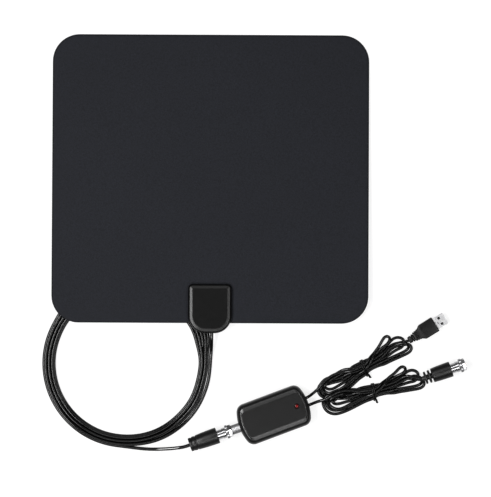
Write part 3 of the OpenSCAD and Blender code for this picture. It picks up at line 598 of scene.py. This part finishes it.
power_pts = [(93.52, -158.63, 8.8), (96.79, -157.39, 8.8), (100.3, -155.6, 8.7), (104.7, -152.2, 8.2), (109.3, -148.1, 7.7)] + placed(hank(True), HANK_U) \
    + [along(USB_C, USB_A, USB_Z, t) for t in (-31.0, -26, -22)]
tv_pts = [(96.25, -165.83, 8.4), (99.52, -164.59, 8.4), (103.1, -163.2, 8.6), (107.6, -161.5, 9.0), (112.2, -159.9, 9.2)] + placed(hank(False), HANK_T) \
    + [along(TVP_C, TVP_A, TVP_Z, t) for t in (-30.4, -24, -16)]

def ease(P, a, b, least=3.1, iters=260):
    """Opens the bends of a cord that are tighter than least, leaving a and b points at the ends."""
    P = P.copy()
    free = np.zeros(len(P), bool)
    free[max(a, 2):len(P) - max(b, 2)] = True
    for it in range(iters):
        A, B, C = P[:-4], P[2:-2], P[4:]
        mid = (A + C) / 2
        n = B - mid
        sag = np.linalg.norm(n, axis=1)
        h2 = ((C - A) ** 2).sum(1) / 4
        over = np.maximum(sag - (h2 + sag ** 2) / (2 * least), 0) * (sag > 0.3)
        push = n / np.maximum(sag, 1e-6)[:, None] * (over * 0.12)[:, None]
        d = np.zeros_like(P)
        d[2:-2] -= push
        d[:-4] += push * 0.5
        d[4:] += push * 0.5
        e = (C - A) / np.maximum(np.linalg.norm(C - A, axis=1), 1e-6)[:, None] * (over * 0.08)[:, None]
        d[:-4] -= e
        d[4:] += e
        P += d * free[:, None]
        m = np.zeros_like(P)
        m[1:-1] = (P[2:] + P[:-2]) / 2 - P[1:-1]
        w = np.zeros(len(P))
        w[2:-2] = np.minimum(over * 2, 0.25)
        w[1:-1] = np.maximum(w[1:-1], np.maximum(w[2:], w[:-2]) * 0.6)
        P += m * (w * free)[:, None]
        P[:, 2] = np.maximum(P[:, 2], 1.5)
    return P


def calm(P, a, b, iters):
    """Takes the small unevenness out of a cord's line, leaving a and b points at the ends."""
    P = P.copy()
    for it in range(iters):
        m = np.zeros_like(P)
        m[1:-1] = (P[2:] + P[:-2]) / 2 - P[1:-1]
        m[:a] = 0
        m[len(P) - b:] = 0
        P += m * 0.5
        m[1:-1] = (P[2:] + P[:-2]) / 2 - P[1:-1]
        m[:a] = 0
        m[len(P) - b:] = 0
        P -= m * 0.46
    return P


power_line, tv_line = settle([(smooth_line(power_pts, 1.5), USB_D), (smooth_line(tv_pts, 1.5), TV_D)], [(4, 14), (4, 12)])
power_line, tv_line = calm(ease(power_line, 4, 14), 4, 14, 3), calm(ease(tv_line, 4, 12), 4, 12, 3)
coax_line, = settle([(smooth_line(coax_route(), 3.0), COAX_D)], [(6, 6)], iters=70, hold=0.08, keepz=0.06, grav=0.006, bend=0.3)
coax_line = calm(coax_line, 6, 6, 24)


def cord_piece(name, line, d, mat, steps=0.9):
    """A cord as one open curve with a round bevel."""
    line = smooth_line(line, steps)
    cu = bpy.data.curves.new(name, "CURVE")
    cu.dimensions = "3D"
    sp = cu.splines.new("POLY")
    sp.points.add(len(line) - 1)
    for p, q in zip(sp.points, line):
        p.co = (q[0] * MM, q[1] * MM, q[2] * MM, 1)
    cu.bevel_depth = d / 2 * MM
    cu.bevel_resolution = 4
    cu.use_fill_caps = True
    o = bpy.data.objects.new(name, cu)
    scene.collection.objects.link(o)
    cu.materials.append(mat)
    return o, float(np.linalg.norm(np.diff(line, axis=0), axis=1).sum()) * MM


coax, coax_len = cord_piece("coax_cord", coax_line, COAX_D, M["coax_jacket"], 1.6)
power, power_len = cord_piece("power_cord", power_line, USB_D, M["power_jacket"])
tv, tv_len = cord_piece("tv_cord", tv_line, TV_D, M["tv_jacket"])
for o, slot, nodes in ((coax, "coax_jacket", ("coax_lead", "coax_coil", "coax_fold", "coax_tail")),
                       (power, "power_jacket", ("power_cord_in", "power_cord_hank", "power_cord_out")),
                       (tv, "coax_jacket", ("tv_cord_in", "tv_cord_hank", "tv_cord_out"))):
    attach(o, "root")
    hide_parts(*nodes)
# ---- carried-over CAD nodes -----------------------------------------------------------

slots = {s["node"]: s["material_slot"] for s in frame["record"]["subparts"]}
for n, o in N.items():
    o.data.materials.clear()
    o.data.materials.append(M[slots[n]])
    for p in o.data.polygons:
        p.use_smooth = True
    o.data.set_sharp_from_angle(angle=math.radians(30))


# ---- junction box ---------------------------------------------------------------------
def box_outline(i=0.0, k=4):
    w, y0, y1 = 43.4 / 2 - i, -10.2 + i, 38.9 - i
    rb, rt = 17.4 - i, max(4.6 - i, 0.8)
    return arc(w - rb, y0 + rb, rb, -90, 0, 8 * k) + arc(w - rt, y1 - rt, rt, 0, 90, 4 * k) \
        + arc(-w + rt, y1 - rt, rt, 90, 180, 4 * k) + arc(-w + rb, y0 + rb, rb, 180, 270, 8 * k)


def loft(outline, rings):
    return [[(x, y, z) for x, y in outline(i)] for z, i in rings]


T0 = PANEL_T
box_rings = [(T0, 1.6), (T0, 0.25), (T0 + 0.3, 0.0), (T0 + 1.8, 0.05), (T0 + 3.0, 0.25), (T0 + 3.8, 0.55), (T0 + 4.3, 0.9), (T0 + 4.65, 1.3), (T0 + 4.85, 1.65), (T0 + 4.95, 1.95),
             (T0 + 5.46, 4.0), (T0 + 5.52, 4.25), (T0 + 5.57, 4.55), (T0 + 5.6, 5.0), (T0 + 5.6, 5.5), (T0 + 5.6, 9.0), (T0 + 5.6, 14.0)]
v, f = rings_mesh(loft(box_outline, box_rings))
box_front = add_mesh("junction_box_front", v, f, M["box_plastic"], on_panel(), sharp=50)
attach(box_front, "root")
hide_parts("box_front_cover")

# ---- amplifier case --------------------------------------------------------------------
def amp_outline(i=0.0, k=5):
    il, iw = i if isinstance(i, tuple) else (i, i)
    l, w, rc, rb = 73.0 / 2 - il, 42.0 / 2 - iw, 8.4 - (il + iw) * 0.35, 46.0
    cx, cy = l - rb, w - rc
    q = math.degrees(math.asin(cy / (rb - rc)))
    px = cx + (rb - rc) * math.cos(math.radians(q))
    out = arc(cx, 0, rb, -q, q, 3 * k)
    out += arc(px, cy, rc, q, 90, 5 * k)[1:] + arc(-px, cy, rc, 90, 180 - q, 5 * k)[:-1]
    out += arc(-cx, 0, rb, 180 - q, 180 + q, 3 * k)
    out += arc(-px, -cy, rc, 180 + q, 270, 5 * k)[1:] + arc(px, -cy, rc, 270, 360 - q, 5 * k)[:-1]
    return out


AMP = on_axis((64.3, -174.65), math.radians(20.8), 0)
top_rings = [(8.25, 1.6), (8.25, 0.3), (8.35, 0.08), (8.5, 0.0), (9.4, 0.0), (10.6, 0.05), (11.8, 0.18), (13.0, 0.45), (14.0, 0.85), (14.9, 1.4), (15.7, 2.1), (16.35, 2.9),
             (16.8, (3.6, 3.5)), (16.95, (4.0, 3.8)), (17.05, (4.3, 4.1)), (17.12, (4.55, 4.35)), (17.88, (4.9, 7.2)), (17.94, (4.94, 7.5)), (17.98, (5.0, 7.9)), (18.0, (5.1, 8.3)), (18.0, (5.7, 8.7))]
v, f = rings_mesh(loft(amp_outline, top_rings))
amp_top = add_mesh("amplifier_top", v, f, M["amp_plastic"], AMP, sharp=50)
bot_rings = [(8.0, 1.6), (8.0, 0.3), (7.9, 0.08), (7.7, 0.0), (6.4, 0.04), (5.0, 0.1), (3.9, 0.22), (2.8, 0.4), (1.9, 0.75), (1.2, 1.1), (0.7, 1.6), (0.3, 2.2), (0.1, 2.7), (0.0, 3.2), (0.0, 8.0)]
v, f = rings_mesh(loft(amp_outline, bot_rings))
amp_bottom = add_mesh("amplifier_bottom", v, f, M["amp_plastic"], AMP, sharp=50)
for o, n in ((amp_top, "amp_top_shell"), (amp_bottom, "amp_bottom_shell")):
    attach(o, "root")
    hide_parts(n)

# the lamp: a low dome; round it a thin ring of the darker box plastic stands in for the shade of a recess in the case,
# as painted shade
LAMP_AX = on_axis(LAMP, 0, 0) @ Matrix.Rotation(-math.pi / 2, 4, "Y")
dome = [(15.6, 2.4), (17.9, 2.4)] + [(17.9 + 1.05 * math.sin(math.radians(t)), 2.4 * math.cos(math.radians(t))) for t in range(6, 90, 7)] + [(18.95, 0.02)]
v, f = lathe(dome, 48)
lamp = add_mesh("lamp", v, f, M["lamp_red"], LAMP_AX)
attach(lamp, "root")
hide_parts("amp_lamp")
# painted shade: a dark ring round the lens where the case's recess would be shaded
v, f = lathe_open(rounded([(17.6, 2.45), (17.98, 2.45), (18.14, 2.6), (18.14, 2.8), (17.98, 3.1), (17.6, 3.1)], 0.08), 48)
lamp_recess_shade = add_mesh("lamp_recess_shade", v, f, M["box_plastic"], LAMP_AX)
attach(lamp_recess_shade, "root")

# ---- screw-on plugs ------------------------------------------------------------------------
PLUG = on_axis(PLUG_C, AXIS_A, AXIS_Z)
TVP = on_axis(TVP_C, TVP_A, TVP_Z)
boot_out = rounded([(-29.3, 1.7), (-29.3, 6.5), (-29.0, 6.8), (-26.9, 6.95), (-26.8, 6.5), (-25.9, 6.5), (-25.8, 7.0), (-22.9, 7.2), (-22.8, 6.75), (-21.9, 6.75),
                    (-21.5, 7.3), (-15, 7.75), (-8, 8.0), (-0.5, 8.15), (0, 7.8), (0, 4.32), (-6.9, 4.32)], 0.3)
v, f = lathe_open(boot_out, 96)
coax_boot = add_mesh("coax_boot", v, f, M["boot_plastic"], PLUG)
tv_out = rounded([(-30.6, 1.5), (-30.6, 2.3), (-27.8, 2.6), (-27.8, 6.0), (-27.4, 6.3), (-26.2, 6.35), (-25.9, 6.1), (-25.9, 2.7), (-23.7, 2.8), (-23.7, 6.15), (-23.3, 6.45), (-22.0, 6.5),
                  (-21.7, 6.2), (-21.7, 2.9), (-19.9, 3.0), (-19.9, 6.7), (-19.5, 7.1), (-13, 7.5), (-6, 7.65), (-0.4, 7.7), (0, 7.4), (0, 4.32), (-6.9, 4.32)], 0.3)
v, f = lathe_open(tv_out, 96)
tv_boot = add_mesh("tv_boot", v, f, M["boot_plastic"], TVP)


def nut_mesh():
    """A coupling nut: a straight-knurled grip ring, and a hexagon with turned chamfers."""
    fn = 144

    def knurl(x, r, a):
        if r > 6.3:
            return r - 0.22 * (0.5 - 0.5 * math.cos(a * 36))
        return r

    ring = [(8.8, 4.2), (8.8, 6.0), (9.0, 6.5), (9.25, 6.9), (11.35, 6.9), (11.6, 6.5), (11.8, 6.0), (11.8, 5.4)]

    def hexr(x, r, a):
        t = (a + math.pi / 6 + math.radians(15)) % (math.pi / 3) - math.pi / 6
        return min(r, 5.5 / math.cos(t))

    hx = [(11.8, 5.4), (11.9, 6.35), (14.4, 6.35), (14.9, 5.7), (14.9, 4.85), (14.6, 4.7)]
    bore = [(14.6, 4.7)]
    x = 14.3
    while x > 9.8:
        bore += [(x, 4.55), (x - 0.2, 4.85), (x - 0.4, 4.85)]
        x -= 0.79
    bore += [(9.4, 4.85), (9.4, 4.2), (8.8, 4.2)]

    def wob(x, r, a):
        if x <= 11.8 + 1e-6:
            return knurl(x, r, a)
        return hexr(x, r, a) if r > 4.86 else r

    return lathe_open(ring + hx[1:] + bore[1:], fn, wob)


v, f = nut_mesh()
coax_nut = add_mesh("coax_nut", v, f, M["nickel"], PLUG, sharp=25)
tv_nut = add_mesh("tv_nut", v, f, M["nickel"], TVP, sharp=25)
for o, n, s, body in ((coax_boot, "coax_plug_boot", "boot_plastic", "root"), (tv_boot, "tv_plug_boot", "boot_plastic", "root"),
                      (coax_nut, "coax_plug_nut", "nickel", "root"), (tv_nut, "tv_plug_nut", "nickel", "tv_nut")):
    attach(o, body)
    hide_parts(n)

# the amplifier's threaded socket
bar_out = [(11.2, 3.0), (11.2, 4.4), (11.5, 4.7)]
x = 11.7
while x < 14.4:
    bar_out += [(x, 4.75), (x + 0.2, 4.75), (x + 0.4, 4.42), (x + 0.55, 4.42)]
    x += 0.79
bar_out += [(15.4, 4.75), (30.8, 4.75)]
v, f = lathe_open(bar_out + [(33.5, 4.75), (33.5, 3.0), (11.2, 3.0)], 72)
socket = add_mesh("socket_barrel", v, f, M["nickel_satin"], PLUG, sharp=25)
v, f = lathe_open([(30.8, 4.7), (30.8, 5.6), (31.1, 6.0), (32.5, 6.0), (32.8, 5.6), (32.8, 4.7)], 72, lambda x, r, a: min(r, 5.2 / math.cos((a + math.pi / 6) % (math.pi / 3) - math.pi / 6)) if r > 4.8 else r)
socket_hex = add_mesh("socket_hexagon", v, f, M["nickel_satin"], PLUG, sharp=25)
for o in (socket, socket_hex):
    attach(o, "root")
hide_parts("amp_socket_barrel")

# ---- power plug ----------------------------------------------------------------------------
USB = on_axis(USB_C, USB_A, USB_Z)


def slab(x, w, t, r, k=5):
    q = arc(w - r, -t + r, r, -90, 0, k) + arc(w - r, t - r, r, 0, 90, k) + arc(-w + r, t - r, r, 90, 180, k) + arc(-w + r, -t + r, r, 180, 270, k)
    return [(x, a, b) for a, b in q]


st = [(-31.2, 1.5, 1.5, 1.4), (-31.2, 2.8, 2.3, 1.8), (-31.0, 3.2, 2.55, 2.0), (-28.2, 3.6, 2.95, 2.0), (-28.0, 3.4, 2.8, 1.9), (-27.9, 2.7, 2.2, 1.6), (-27.1, 2.7, 2.2, 1.6), (-27.0, 3.6, 3.0, 2.0), (-26.8, 3.8, 3.2, 2.0),
      (-25.7, 3.9, 3.25, 2.0), (-25.5, 3.7, 3.1, 2.0), (-25.4, 3.2, 2.5, 1.8), (-24.8, 3.2, 2.5, 1.8), (-24.7, 4.2, 3.1, 1.8), (-24.3, 4.5, 3.3, 1.8), (-23.2, 4.75, 3.4, 1.8), (-23.0, 4.2, 3.2, 1.7), (-22.5, 4.2, 3.2, 1.7), (-22.3, 4.9, 3.5, 1.7),
      (-21.3, 5.05, 3.55, 1.7), (-21.1, 4.6, 3.35, 1.7), (-20.6, 4.6, 3.35, 1.7), (-20.4, 5.15, 3.6, 1.7), (-19.0, 5.3, 3.66, 1.6), (-18.2, 5.55, 3.72, 1.6),
      (-17.4, 6.1, 3.82, 1.45), (-15.8, 7.25, 3.95, 1.3), (-15.2, 7.6, 3.98, 1.2), (-14.4, 7.78, 4.0, 1.2), (-8.0, 7.78, 4.0, 1.2), (-0.6, 7.85, 4.0, 1.2), (-0.2, 7.75, 3.9, 1.15), (0.0, 7.5, 3.7, 1.0), (0.0, 6.05, 2.3, 0.3), (-1.2, 6.05, 2.3, 0.3)]
v, f = rings_mesh([slab(*s) for s in st])
usb_grip = add_mesh("usb_grip", v, f, M["usb_plastic"], USB, sharp=40)
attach(usb_grip, "root")
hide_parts("power_plug_overmould")

# the fold's joint that shows between the two windows of the shell
seam = [(2.25, -1.55), (2.45, -1.6), (3.25, -1.45), (3.4, -1.3), (3.2, -0.6), (3.4, 0.2), (3.25, 0.4), (2.35, 0.35), (2.25, 0.2), (2.45, -0.6)]
v, f = rings_mesh([[(x, y, z) for x, y in seam] for z in (2.15, 2.27)])
usb_seam = add_mesh("usb_seam", v, f, M["steel_dark"], USB, sharp=30)
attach(usb_seam, "root")

# ---- twist ties ----------------------------------------------------------------------------
def tie_piece(name, h, line):
    """A coated wire wound twice round the hank where it lies; its twisted ends below are added in tie_curve."""
    a = math.radians(h[2])
    c, s = math.cos(a), math.sin(a)
    u = (line[:, 0] - h[0]) * c + (line[:, 1] - h[1]) * s
    w = -(line[:, 0] - h[0]) * s + (line[:, 1] - h[1]) * c
    m = np.abs(u) < 4
    r = 1.5 + 0.55
    pts = []
    # the outline of the bundle as a hull of circles in the cross-section
    cz = np.stack([w[m], line[m, 2]], 1)
    dirs = [math.radians(t) for t in range(0, 360, 12)]
    sup = [(max(cz @ np.array([math.cos(t), math.sin(t)])) + r) for t in dirs]
    ring = []
    for i, t in enumerate(dirs):
        best = cz[np.argmax(cz @ np.array([math.cos(t), math.sin(t)]))]
        ring.append((best[0] + r * math.cos(t), max(0.55, best[1] + r * math.sin(t))))
    k = len(ring)
    turns = 2
    for i in range(k * turns + 1):
        q = ring[(i + 6) % k]
        x = -1.7 + 3.4 * i / (k * turns) + 0.7 * math.sin(i * 2 * math.pi / k + 0.6)
        pts.append((x, q[0], q[1]))
    return pts


def tie_curve(name, h, line, slot="tie_plastic"):
    pts = tie_piece(name, h, line)
    low = min(p[1] for p in pts)
    a = math.radians(h[2])
    c, s = math.cos(a), math.sin(a)
    world_pts = [((h[0] + x * c - y * s), (h[1] + x * s + y * c), z) for x, y, z in pts]
    q = smooth_line(world_pts, 0.5)
    cu = bpy.data.curves.new(name, "CURVE")
    cu.dimensions = "3D"
    for strand in (0, 1):
        sp = cu.splines.new("POLY")
        if strand == 0:
            line3 = q
        else:
            tail = []
            for i in range(40):
                t = i / 39
                ang = t * 19
                x = 0.9 + 0.55 * math.cos(ang) + 0.7 * t
                y = low + 0.9 - 3.6 * t
                z = 4.6 + 0.55 * math.sin(ang) - 2.6 * t * t
                tail.append((h[0] + x * c - y * s, h[1] + x * s + y * c, z))
            line3 = np.array(tail)
        sp.points.add(len(line3) - 1)
        for p, w in zip(sp.points, line3):
            p.co = (w[0] * MM, w[1] * MM, w[2] * MM, 1)
    cu.bevel_depth = 0.6 * MM
    cu.bevel_resolution = 3
    cu.use_fill_caps = True
    o = bpy.data.objects.new(name, cu)
    scene.collection.objects.link(o)
    cu.materials.append(M[slot])
    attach(o, "root")
    return o


power_tie = tie_curve("power_tie", HANK_U, power_line)
tv_tie = tie_curve("tv_tie", HANK_T, tv_line)
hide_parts("power_cord_tie")
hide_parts("tv_cord_tie")

# ---- floor, light and camera ----------------------------------------------------------
bpy.ops.mesh.primitive_plane_add(size=6, location=(0, 0, -0.0002))
floor = bpy.context.object
floor.name = "floor"
fm = Mat("floor_pale")
fm.b.inputs["Emission Color"].default_value = (1, 1, 1, 1)
fm.b.inputs["Emission Strength"].default_value = 0.8
floor.data.materials.append(fm.done(fm.ramp(fm.noise(3, 2), [(0.3, (0.14, 0.14, 0.14, 1)), (0.7, (0.15, 0.15, 0.15, 1))]), 0.9, spec=0.0))

world = bpy.data.worlds.new("studio")
scene.world = world
world.use_nodes = True
wt = world.node_tree
bg = wt.nodes["Background"]
bg.inputs["Color"].default_value = (1, 1, 1, 1)
bg.inputs["Strength"].default_value = 0.22


def softbox(name, azimuth, elevation, size, radiance, reach=2.0, target=(0.04, -0.03, 0)):
    d = bpy.data.lights.new(name, "AREA")
    d.shape = "RECTANGLE"
    d.size, d.size_y = size
    d.energy = radiance * math.pi * size[0] * size[1]
    o = bpy.data.objects.new(name, d)
    scene.collection.objects.link(o)
    a, e = math.radians(azimuth), math.radians(elevation)
    o.location = (target[0] + reach * math.cos(e) * math.cos(a), target[1] + reach * math.cos(e) * math.sin(a), target[2] + reach * math.sin(e))
    o.rotation_euler = (Vector(target) - o.location).to_track_quat("-Z", "Y").to_euler()
    return o


softbox("soft_left", 186, 58, (1.7, 0.36), 23, 1.8)
softbox("soft_right", -10, 58, (1.7, 0.36), 9, 1.8)
softbox("soft_front", -92, 60, (1.2, 0.5), 5.6, 1.8)
softbox("soft_back", 92, 60, (1.2, 0.5), 3.2, 1.8)

TH = math.radians(0.27)
cam_d = bpy.data.cameras.new("camera")
cam_d.sensor_width = 36
cam_d.sensor_fit = "AUTO"
cam_d.lens = 217.3
cam_d.clip_end = 20
cam = bpy.data.objects.new("camera", cam_d)
scene.collection.objects.link(cam)
cam.location = (0.0353, -0.0089, 3.0)
cam.rotation_euler = (0, 0, TH)
scene.camera = cam
scene.view_settings.view_transform = "Standard"
scene.view_settings.gamma = 0.75
